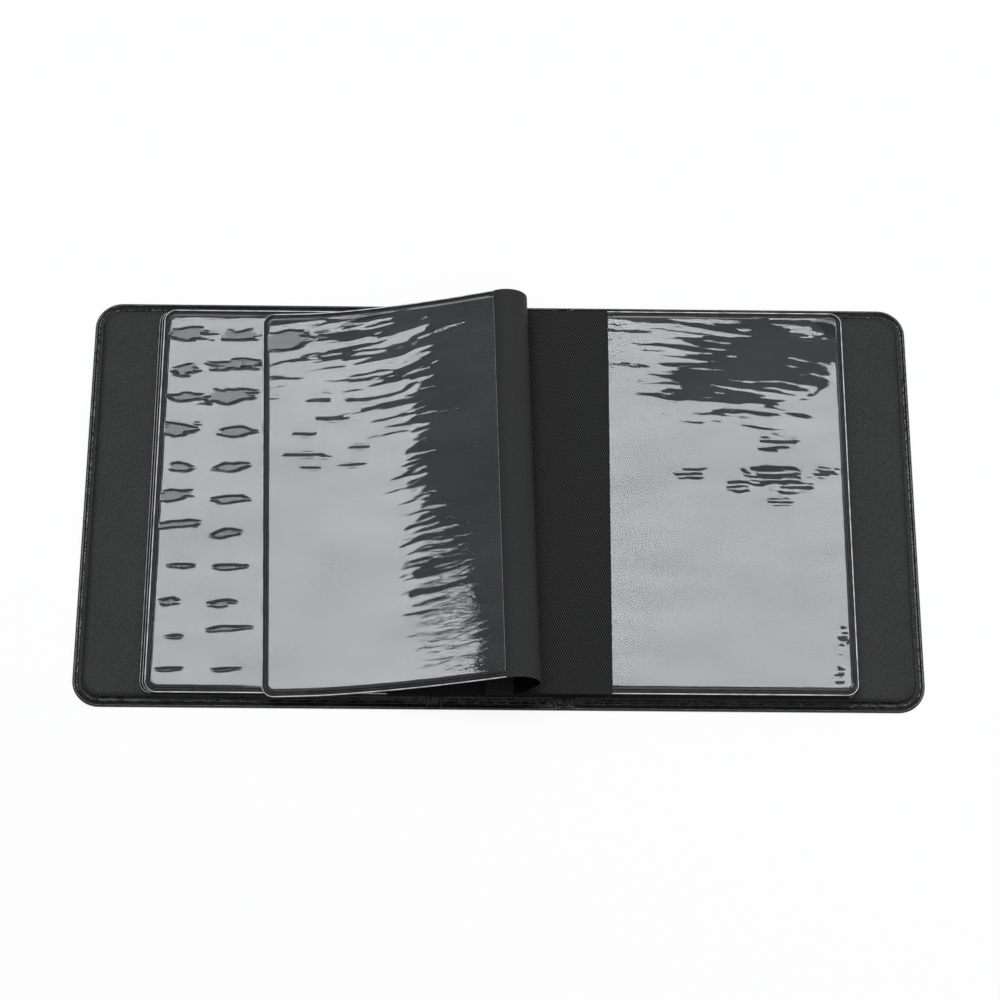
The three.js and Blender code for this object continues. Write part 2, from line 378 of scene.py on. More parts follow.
def bead_vinyl():
    """The glossy melted vinyl of the cover's rim, with small dents that glint"""
    material, nodes, links, shader = new_material("bead_vinyl")
    place = object_place(nodes)
    dents = noise_node(nodes, links, place, 420, 3)
    wear = noise_node(nodes, links, place, 90, 2)
    shine = ramp(nodes, links, wear, [(0.35, grey(0.14)), (0.7, grey(0.34))])
    links.new(shine, shader.inputs["Roughness"])
    shader.inputs["Base Color"].default_value = (0.012, 0.012, 0.0125, 1)
    links.new(bump(nodes, links, dents, 0.0006, 0.7), shader.inputs["Normal"])
    return material


def foot_vinyl():
    """The pressed vinyl along a cover's head and foot: black, glossy and crumpled"""
    material, nodes, links, shader = new_material("foot_vinyl")
    place = object_place(nodes)
    dents = noise_node(nodes, links, place, 260, 3, 0.6)
    shader.inputs["Roughness"].default_value = 0.14
    shader.inputs["Specular IOR Level"].default_value = 0.4
    shader.inputs["Base Color"].default_value = (0.002, 0.002, 0.0022, 1)
    links.new(bump(nodes, links, dents, 0.0016, 0.9), shader.inputs["Normal"])
    return material


def weld_vinyl():
    """The pressed and melted border of a pocket, quite black"""
    material, nodes, links, shader = new_material("weld_vinyl")
    place = object_place(nodes)
    dents = noise_node(nodes, links, place, 700, 2)
    shader.inputs["Roughness"].default_value = 0.35
    shader.inputs["Specular IOR Level"].default_value = 0.08
    shader.inputs["Base Color"].default_value = (0.004, 0.004, 0.0045, 1)
    links.new(bump(nodes, links, dents, 0.00012, 0.6), shader.inputs["Normal"])
    return material


def painted_edge_glint(name, tone):
    """A pale finish that paints a highlight: its colour stands in for the light that the cut edge of a clear
    film gathers, in ragged patches
    """
    material, nodes, links, shader = new_material(name)
    place = object_place(nodes)
    # Painted highlight broken into patches: the noise mixes a dull and a pale tone
    patchy_glint = noise_node(nodes, links, place, 260, 3)
    pale = (tone, tone, tone * 1.03)
    dull = tuple(c * 0.45 for c in pale)
    links.new(ramp(nodes, links, patchy_glint, [(0.3, dull), (0.6, pale)]), shader.inputs["Base Color"])
    shader.inputs["Roughness"].default_value = 0.25
    return material


def weave_height(nodes, links):
    """The height of a fine diagonal twill, between 0 and 1, read from the flat map"""
    place = nodes.new("ShaderNodeUVMap")
    place.uv_map = "flat"
    split = nodes.new("ShaderNodeSeparateXYZ")
    links.new(place.outputs[0], split.inputs[0])
    wale, rise = 2 * math.pi / TWILL_WALE, 2 * math.pi / TWILL_RISE
    across = math_node(nodes, links, "MULTIPLY", split.outputs[0], wale)
    upward = math_node(nodes, links, "MULTIPLY", split.outputs[1], rise)
    ribs = math_node(nodes, links, "SINE", math_node(nodes, links, "ADD", across, upward))
    step = math_node(nodes, links, "MULTIPLY", split.outputs[1], wale * 1.6)
    floats = math_node(nodes, links, "SINE", math_node(nodes, links, "SUBTRACT", step, across))
    weave = math_node(nodes, links, "ADD", ribs, math_node(nodes, links, "MULTIPLY", floats, 0.7))
    return math_node(nodes, links, "MULTIPLY_ADD", weave, 0.3, 0.5)


def twill_vinyl(name, groove, rib_highlight, relief):
    """Black vinyl with a fine diagonal twill pressed into it: the ribs are painted paler than the grooves, a
    painted highlight for the light the pressed ribs catch
    """
    material, nodes, links, shader = new_material(name)
    height = weave_height(nodes, links)
    # Painted highlight: the paler rib tone stands in for the light on the pressed ribs
    tone = ramp(nodes, links, height, [(0.54, grey(groove)), (0.86, (rib_highlight, rib_highlight, rib_highlight * 1.03))])
    links.new(tone, shader.inputs["Base Color"])
    shader.inputs["Roughness"].default_value = 0.55
    shader.inputs["Specular IOR Level"].default_value = 0.08
    links.new(bump(nodes, links, height, relief), shader.inputs["Normal"])
    return material


def clear_film():
    """Thin clear vinyl: it shows what lies under it, mirrors the lamps and is faintly cloudy"""
    material, nodes, links, shader = new_material("clear_film")
    nodes.remove(shader)
    output = nodes["Material Output"]
    place = object_place(nodes)
    stretched = nodes.new("ShaderNodeMapping")
    stretched.inputs["Scale"].default_value = (0.22, 1, 1)
    links.new(place, stretched.inputs["Vector"])
    skin = noise_node(nodes, links, stretched.outputs[0], 90, 2)
    ragged = noise_node(nodes, links, stretched.outputs[0], 420, 1.5)
    fine = noise_node(nodes, links, stretched.outputs[0], 1300, 2)
    relief = bump(nodes, links, skin, 0.00002)
    relief = bump(nodes, links, ragged, 0.00003, 1.0, relief)
    relief = bump(nodes, links, fine, 0.000007, 1.0, relief)
    relief = bump(nodes, links, weave_height(nodes, links), 0.0000015, 1.0, relief)
    fresnel = nodes.new("ShaderNodeFresnel")
    fresnel.inputs["IOR"].default_value = 1.5
    links.new(relief, fresnel.inputs["Normal"])
    see_through = nodes.new("ShaderNodeBsdfTransparent")
    see_through.inputs["Color"].default_value = (0.97, 0.975, 0.98, 1)
    gloss = nodes.new("ShaderNodeBsdfGlossy")
    gloss.inputs["Roughness"].default_value = 0.015
    sheen = noise_node(nodes, links, stretched.outputs[0], 100, 3)
    shine = ramp(nodes, links, sheen, [(0.3, grey(0.85)), (0.7, grey(1))])
    links.new(shine, gloss.inputs["Color"])
    links.new(relief, gloss.inputs["Normal"])
    mixed = nodes.new("ShaderNodeMixShader")
    links.new(fresnel.outputs[0], mixed.inputs[0])
    links.new(see_through.outputs[0], mixed.inputs[1])
    links.new(gloss.outputs[0], mixed.inputs[2])
    haze = nodes.new("ShaderNodeBsdfDiffuse")
    clouds = noise_node(nodes, links, stretched.outputs[0], 60, 3)
    tone = ramp(nodes, links, clouds, [(0.3, (0.3, 0.31, 0.34)), (0.7, (0.9, 0.92, 0.95))])
    links.new(tone, haze.inputs["Color"])
    cloudy = nodes.new("ShaderNodeMixShader")
    cloudy.inputs[0].default_value = 0.012
    links.new(mixed.outputs[0], cloudy.inputs[1])
    links.new(haze.outputs[0], cloudy.inputs[2])
    links.new(cloudy.outputs[0], output.inputs["Surface"])
    return material


def grey_board():
    """Recycled grey board with short fibres"""
    material, nodes, links, shader = new_material("grey_board")
    place = object_place(nodes)
    fibres = noise_node(nodes, links, place, 900, 4, 0.7)
    tone = ramp(nodes, links, fibres, [(0.3, (0.2, 0.18, 0.15)), (0.7, (0.34, 0.31, 0.27))])
    links.new(tone, shader.inputs["Base Color"])
    shader.inputs["Roughness"].default_value = 0.9
    links.new(bump(nodes, links, fibres, 0.0002), shader.inputs["Normal"])
    return material


def rivet_steel():
    """Nickelled steel with fine turning marks"""
    material, nodes, links, shader = new_material("rivet_steel")
    place = object_place(nodes)
    marks = noise_node(nodes, links, place, 1200, 3)
    shine = ramp(nodes, links, marks, [(0.3, grey(0.24)), (0.7, grey(0.4))])
    links.new(shine, shader.inputs["Roughness"])
    shader.inputs["Base Color"].default_value = (0.46, 0.46, 0.47, 1)
    shader.inputs["Metallic"].default_value = 1
    return material


LINING = lining_vinyl()
BEAD = bead_vinyl()
WELD = weld_vinyl()
FOOT = foot_vinyl()
# Painted highlights: the dimmer finish for the knurls' glints and the films' free edges, the brighter one for
# the thin line along each pocket's rim
EDGE_GLINT = painted_edge_glint("painted_edge_glint", 0.1)
RIM_HIGHLIGHT = painted_edge_glint("rim_highlight", 0.7)
TWILL = twill_vinyl("twill_vinyl", 0.0, 0.068, 0.00006)
# A lit copy of the twill: its paler tones paint the light on the loop and the turned leaf's bare crest
LIT_ARCHED_TWILL = twill_vinyl("lit_arched_twill", 0.017, 0.065, 0.00005)
COVERED_TWILL = twill_vinyl("covered_twill", 0.0065, 0.02, 0.00002)
FILM = clear_film()
BOARD = grey_board()
STEEL = rivet_steel()


def dress(piece, material, replaced=()):
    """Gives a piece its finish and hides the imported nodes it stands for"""
    piece.data.materials.append(material)
    if replaced:
        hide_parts(*replaced)
    return piece


def finish_faces(piece, material, chosen):
    """Gives a second material to the faces whose middle (u, v) is chosen, read from the flat map"""
    mesh = piece.data
    mesh.materials.append(material)
    index = len(mesh.materials) - 1
    flat = mesh.uv_layers["flat"].data
    for face in mesh.polygons:
        us = [flat[i].uv for i in face.loop_indices]
        u = sum(c[0] for c in us) / len(us) / MM
        v = sum(c[1] for c in us) / len(us) / MM
        if chosen(u, v):
            face.material_index = index
    return piece


def refinish(name, material):
    """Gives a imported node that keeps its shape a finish"""
    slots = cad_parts[name].material_slots
    for each in slots:
        each.material = material


def size_of(name):
    """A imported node's box in millimetres: lowest x, y, z and highest x, y, z"""
    low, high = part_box(name)
    return [c / MM for c in low] + [c / MM for c in high]


# Covers and spine
def crumple(u, v, amount, seed):
    """Soft irregular dents, in millimetres"""
    coarse = noise.noise(Vector((u / 14, v / 14, seed)))
    fine = noise.noise(Vector((u / 5, v / 5, seed + 9)))
    return amount * (0.7 * coarse + 0.3 * fine)


def skin_underside(d):
    """The skin's lower face, eased up at distance d from its edge"""
    return SKIN_CHAMFER * (1 - smooth(0, SKIN_CHAMFER_WIDTH, d))


def lining_bottom(u, v):
    """The lining's lower face, flat over the skin"""
    return LINING_BOTTOM


def finish_ends(piece, half):
    """Gives the pressed strips along the foot and head their gloss"""
    finish_faces(piece, FOOT, lambda u, v: half + v < FOOT_WIDTH or half - v < HEAD_WIDTH)


def make_cover(name, side):
    """A cover's skin with its bead, and the lining pressed over the board. Returns half its height"""
    skin_box = size_of(name + "_skin")
    edge = skin_box[3] if side > 0 else -skin_box[0]
    half = skin_box[4]
    place = mirrored(side)

    def rim_distance(u, v):
        return weld_distance(u, v, edge, half, COVER_CORNER)

    def skin_top(u, v):
        d = rim_distance(u, v)
        lump = crumple(u * 2, v * 2, 0.3, side * 3.1) * smooth(0, 0.4, d) * (1 - smooth(1.1, 1.6, d))
        return along(BEAD_PROFILE, d) + lump

    def skin_bottom(u, v):
        return skin_underside(rim_distance(u, v))

    rings = [d for d, _ in BEAD_PROFILE]
    skin = slab(name + "_shell", (PAD_EDGE, edge, -half, half), (0, COVER_CORNER, COVER_CORNER, 0),
                rings, *SKIN_GRID, skin_top, skin_bottom, place, COVER_ARC_STEPS)
    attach(dress(skin, BEAD, [name + "_skin"]), name)

    def lining_top(u, v):
        d = rim_distance(u, v)
        rise = along(LINING_PROFILE, d)
        if d > PAD_START:
            rise = min(rise, along(PAD_INNER_PROFILE, u - PAD_EDGE))
        puckers = crumple(u * 2, v * 2, 0.12, side * 7.7) * smooth(2.3, 3, d) * (1 - smooth(6, 9, d))
        return rise + puckers + crumple(u / 2.6, v / 2.6, 0.1, side * 1.7) * smooth(6, 14, d)

    rings = [d - LINING_INSET for d, _ in LINING_PROFILE]
    shape = (PAD_EDGE, edge - LINING_INSET, LINING_INSET - half, half - LINING_INSET)
    corner = COVER_CORNER - LINING_INSET
    lining = slab(name + "_liner", shape, (0, corner, corner, 0), rings, *LINING_GRID,
                  lining_top, lining_bottom, place, COVER_ARC_STEPS)
    dress(lining, LINING, [name + "_lining"])
    finish_ends(lining, half)
    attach(lining, name)
    refinish(name + "_board", BOARD)
    return half


def make_spine(half):
    """The spine between the two webs, with its own skin and lining"""
    def end_distance(v):
        return half - abs(v)

    def skin_top(u, v):
        return along(BEAD_PROFILE, end_distance(v))

    def skin_bottom(u, v):
        return skin_underside(end_distance(v))

    def plain(u, v, h):
        return (u, v, h)

    rings = [d for d, _ in BEAD_PROFILE[:-1]] + [2.0]
    skin = slab("spine_shell", (-SPINE_PAD_EDGE, SPINE_PAD_EDGE, -half, half), (0, 0, 0, 0),
                rings, *SPINE_SKIN_GRID, skin_top, skin_bottom, plain)
    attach(dress(skin, BEAD, ["spine_skin"]), "spine")

    def lining_top(u, v):
        rise = along(LINING_PROFILE, end_distance(v))
        rise = min(rise, along(PAD_INNER_PROFILE, SPINE_PAD_EDGE - abs(u)))
        near_end = 1 - smooth(8, 22, end_distance(v))
        return rise + crumple(u, v, 0.35, 4.4) * near_end * smooth(2.3, 4, end_distance(v))

    rings = [d - LINING_INSET for d, _ in LINING_PROFILE]
    shape = (-SPINE_PAD_EDGE, SPINE_PAD_EDGE, LINING_INSET - half, half - LINING_INSET)
    lining = slab("spine_liner", shape, (0, 0, 0, 0), rings, *SPINE_LINING_GRID,
                  lining_top, lining_bottom, plain)
    dress(lining, LINING, ["spine_lining"])
    finish_ends(lining, half)
    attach(lining, "spine")
    refinish("spine_board", BOARD)
    refinish("binding_strip", LINING)
    for i in (1, 2, 3):
        refinish(f"rivet_{i}", STEEL)


def make_hinge(name, side, half):
    """The thin web between a cover's pad and the spine's, the strip that bends on the real album when the
    cover swings
    """
    def top(u, v):
        d = half - abs(v)
        rise = along(BEAD_PROFILE, d) if d < LINING_INSET else min(along(LINING_PROFILE, d), FLANGE_TOP)
        rise += WEB_SWELL * smooth(3.4, 5, d) * (1 - smooth(5, 15, d))
        lumps = crumple(u * 1.4, v * 1.4, 0.12, side * 5.9) * smooth(2.6, 6, d)
        middle = smooth(SPINE_PAD_EDGE, SPINE_PAD_EDGE + 1.5, u) * (1 - smooth(PAD_EDGE - 1.5, PAD_EDGE, u))
        return rise + lumps * middle

    def bottom(u, v):
        return skin_underside(half - abs(v))

    rings = [0, 0.12, 0.4, 0.75, 1.1, 1.35, 1.5, 1.65, 2.15, 2.2, 2.4, 2.7]
    shape = (SPINE_PAD_EDGE - WEB_OVERLAP, PAD_EDGE + WEB_OVERLAP, -half, half)
    web = slab(name + "_web", shape, (0, 0, 0, 0), rings, *WEB_GRID, top, bottom, mirrored(side))
    dress(web, LINING)
    finish_ends(web, half)
    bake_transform(web)


# Leaves
def rounded(points, rounds=3):
    """A path with its corners cut again and again"""
    for _ in range(rounds):
        cut = [points[0]]
        for (ax, az), (bx, bz) in zip(points, points[1:]):
            cut.append((ax * 0.75 + bx * 0.25, az * 0.75 + bz * 0.25))
            cut.append((ax * 0.25 + bx * 0.75, az * 0.25 + bz * 0.75))
        points = cut + [points[-1]]
    return points


class Path:
    """A line in x and z, measured by its length, with its direction at any point"""

    def __init__(self, points):
        self.points = points
        self.lengths = [0.0]
        for (ax, az), (bx, bz) in zip(points, points[1:]):
            self.lengths.append(self.lengths[-1] + math.hypot(bx - ax, bz - az))
        self.length = self.lengths[-1]

    def at(self, s):
        i = min(max(bisect.bisect_right(self.lengths, s), 1), len(self.points) - 1)
        (ax, az), (bx, bz) = self.points[i - 1], self.points[i]
        span = self.lengths[i] - self.lengths[i - 1]
        t = (s - self.lengths[i - 1]) / span
        return ax + (bx - ax) * t, az + (bz - az) * t

    def frame(self, s, reach=0.6):
        x, z = self.at(s)
        ax, az = self.at(max(s - reach, 0))
        bx, bz = self.at(min(s + reach, self.length))
        size = math.hypot(bx - ax, bz - az)
        return x, z, (bx - ax) / size, (bz - az) / size


def film_top(d, relief):
    """The outer face of a film at distance d from its welded edge, with its relief past the weld"""
    return along(WELD_PROFILE, d) + relief * smooth(2.4, 3.4, d)


def film_wall(d):
    """The film's thickness, which the weld presses thinner"""
    return WELD_THICKNESS + (FILM_THICKNESS - WELD_THICKNESS) * smooth(2.2, 2.9, d)


def backing_top(d):
    """The backing's face, which the weld presses into the shape of the film over it"""
    pressed = along(WELD_PROFILE, d) - WELD_THICKNESS - FILM_OVER_BACKING
    return pressed + (HALF_BACKING - pressed) * smooth(2.1, 2.5, d)


def backing_faces(film_start, edge, half):
    """The upper and the lower height of a backing, which is bare up to where its films start"""
    def top(u, v):
        if u > film_start:
            return backing_top(weld_distance(u, v, edge, half, LEAF_CORNER))
        return HALF_BACKING

    def bottom(u, v):
        return -top(u, v)
    return top, bottom


FINE_RINGS = [d for d, _ in WELD_PROFILE]
PLAIN_RINGS = [0.0, 0.25, 0.4, 0.7, 0.95, 1.05, 1.2, 1.3, 1.45, 2.15, 2.45, 2.7, 5.5]


def make_film(name, face, rect, half, relief, place, fine, plain_step=PLAIN_STEP):
    """One clear film: face is 1 over the backing and -1 under it. A plain film that bends has a small step"""
    edge = rect[1]

    def distance(u, v):
        return weld_distance(u, v, edge, half, LEAF_CORNER)

    def outside(u, v):
        return face * film_top(distance(u, v), relief(u, v))

    def inside(u, v):
        d = distance(u, v)
        return face * (film_top(d, relief(u, v)) - film_wall(d))

    rings = FINE_RINGS if fine else PLAIN_RINGS
    along_u, along_v = FINE_STEPS if fine else (plain_step, PLAIN_STEP)
    nu, nv = int((rect[1] - rect[0]) / along_u), int(2 * half / along_v)
    top, bottom = (outside, inside) if face > 0 else (inside, outside)
    film = slab(name, rect, (0, LEAF_CORNER, LEAF_CORNER, 0), rings, nu, nv, top, bottom, place)
    dress(film, FILM)
    finish_faces(film, WELD, lambda u, v: distance(u, v) < WELD_WIDTH)
    finish_faces(film, BEAD, lambda u, v: RIDGE[0] < distance(u, v) < RIDGE[1])
    # Painted highlights: a pale line along each pocket's outer rim and a pale film edge by the spine, for the
    # light these edges catch
    finish_faces(film, RIM_HIGHLIGHT, lambda u, v: (0.1 if fine else 0.2) < distance(u, v) < RIM_WIDTH)
    finish_faces(film, EDGE_GLINT, lambda u, v: u < rect[0] + 0.2 and half - abs(v) > WELD_WIDTH)
    return film


def knurl_tree():
    """Geometry nodes: small raised beads along the weld, a pitch apart"""
    tree = bpy.data.node_groups.new("weld_knurls", "GeometryNodeTree")
    interface = tree.interface
    interface.new_socket("Geometry", in_out="INPUT", socket_type="NodeSocketGeometry")
    pitch = interface.new_socket("Pitch", in_out="INPUT", socket_type="NodeSocketFloat")
    size = interface.new_socket("Bead size", in_out="INPUT", socket_type="NodeSocketVector")
    finish = interface.new_socket("Finish", in_out="INPUT", socket_type="NodeSocketMaterial")
    interface.new_socket("Geometry", in_out="OUTPUT", socket_type="NodeSocketGeometry")
    nodes, links = tree.nodes, tree.links
    source = nodes.new("NodeGroupInput")
    target = nodes.new("NodeGroupOutput")
    resample = nodes.new("GeometryNodeResampleCurve")
    resample.mode = "LENGTH"
    links.new(source.outputs["Geometry"], resample.inputs["Curve"])
    links.new(source.outputs["Pitch"], resample.inputs["Length"])
    bead = nodes.new("GeometryNodeMeshUVSphere")
    bead.inputs["Segments"].default_value = 6
    bead.inputs["Rings"].default_value = 4
    bead.inputs["Radius"].default_value = 1
    tangent = nodes.new("GeometryNodeInputTangent")
    align = nodes.new("FunctionNodeAlignEulerToVector")
    align.axis = "X"
    links.new(tangent.outputs[0], align.inputs["Vector"])
    instance = nodes.new("GeometryNodeInstanceOnPoints")
    links.new(resample.outputs[0], instance.inputs["Points"])
    links.new(bead.outputs["Mesh"], instance.inputs["Instance"])
    links.new(align.outputs[0], instance.inputs["Rotation"])
    links.new(source.outputs["Bead size"], instance.inputs["Scale"])
    realize = nodes.new("GeometryNodeRealizeInstances")
    links.new(instance.outputs[0], realize.inputs[0])
    shade = nodes.new("GeometryNodeSetShadeSmooth")
    links.new(realize.outputs[0], shade.inputs["Geometry"])
    paint = nodes.new("GeometryNodeSetMaterial")
    links.new(shade.outputs[0], paint.inputs["Geometry"])
    links.new(source.outputs["Finish"], paint.inputs["Material"])
    links.new(paint.outputs[0], target.inputs[0])
    return tree, pitch.identifier, size.identifier, finish.identifier


KNURLS = knurl_tree()


def make_knurls(name, rect, half, place):
    """The serrated band of the weld round a pocket's head, outer edge and foot"""
    tree, pitch, size, finish = KNURLS
    inset = KNURL_INSET
    # The ring's left side lies off the pocket, and what is left of start is dropped
    round_pocket = (rect[0] - 20, rect[1], -half, half)
    points = ring(round_pocket, (0, LEAF_CORNER, LEAF_CORNER, 0), inset, 60, 60, 10)
    start = rect[0] + 0.4
    kept = [(u, v) for u, v in points if u > start]
    kept.sort(key=lambda p: math.atan2(p[1], p[0] - start + 1e-6))
    kept = [(start, inset - half)] + kept + [(start, half - inset)]
    curve = bpy.data.curves.new(name, "CURVE")
    curve.dimensions = "3D"
    spline = curve.splines.new("POLY")
    spline.points.add(len(kept) - 1)
    lift = along(WELD_PROFILE, inset) - 0.02
    for point, (u, v) in zip(spline.points, kept):
        point.co = (*(Vector(place(u, v, lift)) * MM), 1)
    carrier = bpy.data.objects.new(name + "_line", curve)
    bpy.context.collection.objects.link(carrier)
    modifier = carrier.modifiers.new("knurls", "NODES")
    modifier.node_group = tree
    modifier[pitch] = KNURL_PITCH * MM
    modifier[size] = tuple(each * MM for each in KNURL_HALF_SIZES)
    # Painted glints: the knurls take the pale edge finish so that they show as bright dots
    modifier[finish] = EDGE_GLINT
    evaluated = carrier.evaluated_get(bpy.context.evaluated_depsgraph_get())
    mesh = bpy.data.meshes.new_from_object(evaluated)
    mesh.name = name
    bpy.data.objects.remove(carrier)
    piece = bpy.data.objects.new(name, mesh)
    bpy.context.collection.objects.link(piece)
    # The same painted glint finish, should the beads come without one
    if not mesh.materials:
        mesh.materials.append(EDGE_GLINT)
    return piece


def ripples(u, v, seed, length, width):
    """Long low waves that run across the page and sink a little towards its outer edge"""
    return noise.noise(Vector(((u + 1.2 * v) / length, (v + 0.06 * u) / width, seed)))


PUCKER_HEAD = 78
PUCKER_PITCH = 15.8
PUCKER_WIDTH = 2.9
PUCKER_COLUMNS = [(141, 8, 2.3), (118, 10, 6.1)]
CLING = -0.14
CREASE_SLOPE = 0.26
# Small creases on the right page and on the turned one: middle, half length and half width
RIGHT_CREASES = [
    (121, 10, 13, 2.6), (83, 11, 7, 1.6), (122, 26, 8, 2.2), (143, 12, 4, 2.4), (104, 5, 5, 1.6),
    (128, 5, 9, 1.8), (123, -2, 6, 1.2), (147.5, -65, 1.6, 3.4), (145.5, -81, 1.5, 2.8),
]
TURNED_CREASES = [
    (95, 47, 4, 1.4), (88, 38, 6, 1.8), (78, 46, 4, 1.4), (101, 31, 5, 1.4), (102, 21, 9, 1.5),
    (77, 23, 4, 1.3), (80, 15, 5, 1.3), (99, 15, 4, 1.3),
]


def still(u, v):
    """The relief of a film that lies under other leaves"""
    return 0


def clinging_spot(u, v, centre, half_length, half_width, lean, seed):
    """1 inside a ragged, slightly leaning oval where the film clings to the backing, 0 outside"""
    across = v - centre[1] - lean * (u - centre[0])
    fray = 0.55 * noise.noise(Vector((u / 4, v / 2, seed)))
    fray += 0.2 * noise.noise(Vector((u / 1.5, v / 1.2, seed)))
    q = math.hypot((u - centre[0]) / half_length, across / half_width) + fray
    return 1 - smooth(0.89, 1.06, q)


def puckers(u, v):
    """The two columns of clinging spots down the left page, larger towards the head"""
    nearest = round((PUCKER_HEAD - v) / PUCKER_PITCH)
    inside = 0
    for row in (nearest - 1, nearest, nearest + 1):
        for column, reach, seed in PUCKER_COLUMNS:
            lot = noise.noise(Vector((row * 1.7, column, seed)))
            other = noise.noise(Vector((row * 2.3, column, seed + 5)))
            if row < 0 or lot < -0.42:
                continue
            middle = (column + 5 * other, PUCKER_HEAD - row * PUCKER_PITCH + 5 * lot)
            half_width = PUCKER_WIDTH * (1 - 0.075 * row) * (1 + 0.9 * other)
            half_length = reach * (1 + 0.9 * lot) * (1 - 0.035 * row)
            lean = -0.12 * other - 0.06
            inside = max(inside, clinging_spot(u, v, middle, half_length, half_width, lean, seed))
    return inside


def left_page(u, v):
    """A still film with two columns of puckers down the page"""
    lift = 0.08 + 0.16 * smooth(107, 113, u) + 0.06 * ripples(u, v, 1.1, 60, 14)
    lift += 0.04 * ripples(u, v, 6.1, 22, 5)
    return lift + (CLING - lift) * puckers(u, v)


def wrinkles(u, v, seed):
    """Ragged waves that run across the page, with finer ones on them"""
    coarse = 0.1 * ripples(u, v, seed, 38, 4.8)
    middling = 0.06 * ripples(u, v, seed + 4.5, 14, 2.5)
    return coarse + middling + 0.028 * ripples(u, v, seed + 7.9, 5, 1.4)


def small_creases(u, v, places):
    """Short ragged dips that turn a spot of the shine dark, each given by its middle and half its size"""
    height = 0
    for x, y, length, width in places:
        if abs(v - y) > 4 * width or abs(u - x) > 2 * length:
            continue
        fray = noise.noise(Vector(((u + v) / 3, v / 2, x)))
        up = (v - y) / width + 0.5 * fray
        sideways = (u - x) / length + 0.8 * fray
        height -= CREASE_SLOPE * width * up * math.exp(-up * up - sideways ** 4)
    return height


def air_hump(u, v):
    """The broad hump of trapped air whose far side turns dark"""
    middle = 111 + 0.35 * max(v - 45, 0)
    reach = 26 if v < 34 else 35
    return 2.3 * math.exp(-(((u - middle) / 34) ** 4) - ((v - 34) / reach) ** 2)


def right_page(u, v):
    """Flat below; towards the head a hump of air, ragged waves, creases and an oval that clings"""
    lively = 1.1 * smooth(0, 45, v + 0.3 * (u - 100)) * (0.5 + 0.5 * smooth(58, 95, u))
    fading = 118 + 21 * smooth(40, 54, v)
    moving = (air_hump(u, v) + wrinkles(u, v, 3.7) * (0.05 + lively)) * (1 - smooth(fading, 149, u))
    moving -= 0.6 * smooth(64, 86, v) * smooth(110, 122, u)
    creases = small_creases(u, v, RIGHT_CREASES)
    film = 0.36 + moving + creases + 0.1 * ripples(u, v, 5.5, 80, 60)
    return film + (0.1 - film) * clinging_spot(u, v, (136, 81.5), 11, 3.6, -0.3, 4.9)


def turned_page(u, v):
    """Waves that run with the page and fray the edge of its shine, and a clinging spot at the head"""
    lively = 0.1 + 1.1 * smooth(8, 70, v) + 1.2 * math.exp(-(((u - 57) / 15) ** 2)) * smooth(-80, -58, v)
    film = 0.36 + wrinkles(u, v, 9.4) * lively + 0.1 * ripples(u, v, 7.3, 60, 40)
    film += small_creases(u, v, TURNED_CREASES)
    film -= 0.5 * smooth(67, 85, v + 0.15 * (u - 76)) * math.exp(-(((u - 74) / 19) ** 4))
    return film + (CLING - film) * clinging_spot(u, v, (111, 77), 11, 5, -0.22, 3.3)


def leaf_place(path, side, start):
    """Puts a flat leaf's (distance from the spine, y, height) along its bent path"""
    def place(u, v, h):
        x, z, tx, tz = path.frame(u - start)
        return (side * (x - tz * h), v, z + tx * h)
    return place


def make_leaf(name, side, page):
    """A leaf of either pile: one backing that runs from the rivets to the outer edge, and its two films"""
    backing_box = size_of(name + "_backing")
    film_box = size_of(name + "_film_upper")
    fold = min(abs(backing_box[0]), abs(backing_box[3]))
    edge = max(abs(backing_box[0]), abs(backing_box[3]))
    film_start = min(abs(film_box[0]), abs(film_box[3]))
    z = (backing_box[2] + backing_box[5]) / 2
    half = backing_box[4]
    fine = page is not still

    def plain_place(u, v, h):
        return (side * u, v, z + h)

    tab_low = TAB_LEVELS[name]
    bends = rounded([(-TAB_END, tab_low), (TAB_BEND, tab_low), (TAB_FLAT, z), (fold, z)])
    path = Path(bends + [(edge, z)])
    start = edge - path.length
    place = leaf_place(path, side, start)
    top, bottom = backing_faces(film_start, edge, half)
    rings = FINE_RINGS if fine else PLAIN_RINGS
    nu, nv = int(path.length / (1.5 if fine else 5.0)), int(2 * half / 4)
    backing = slab(name + "_sheet", (start, edge, -half, half), (0, LEAF_CORNER, LEAF_CORNER, 0),
                   rings, nu, nv, top, bottom, place)
    dress(backing, TWILL, [name + "_backing", name + "_tab"])
    finish_faces(backing, COVERED_TWILL, lambda u, v: u > film_start)
    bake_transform(backing)

    rect = (film_start, edge, -half, half)
    for face, word in ((1, "upper"), (-1, "lower")):
        relief = page if face > 0 else still
        sheet_piece = make_film(f"{name}_clear_{word}", face, rect, half, relief, plain_place,
                                fine and face > 0)
        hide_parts(f"{name}_film_{word}")
        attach(sheet_piece, name)
        if relief is right_page:
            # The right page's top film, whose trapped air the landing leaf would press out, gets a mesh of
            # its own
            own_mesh(sheet_piece)
    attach(make_knurls(name + "_knurls", rect, half, plain_place), name)


def make_pile(side, numbers, top_page):
    """The leaves on one cover, from the bottom up"""
    for number in numbers:
        name = f"leaf_{number:02d}"
        make_leaf(name, side, top_page if number == numbers[-1] else still)


TAB_PITCH = 0.36
# The leaves whose tabs lie under the strip, from the bottom up
TAB_ORDER = [
    "leaf_10", "leaf_01", "leaf_09", "leaf_02", "leaf_08", "leaf_03", "leaf_07", "leaf_06", "leaf_05",
    "leaf_04",
]
TAB_FIRST = size_of("leaf_10_tab")[2] + HALF_BACKING
TAB_LEVELS = {name: TAB_FIRST + TAB_PITCH * i for i, name in enumerate(TAB_ORDER)}


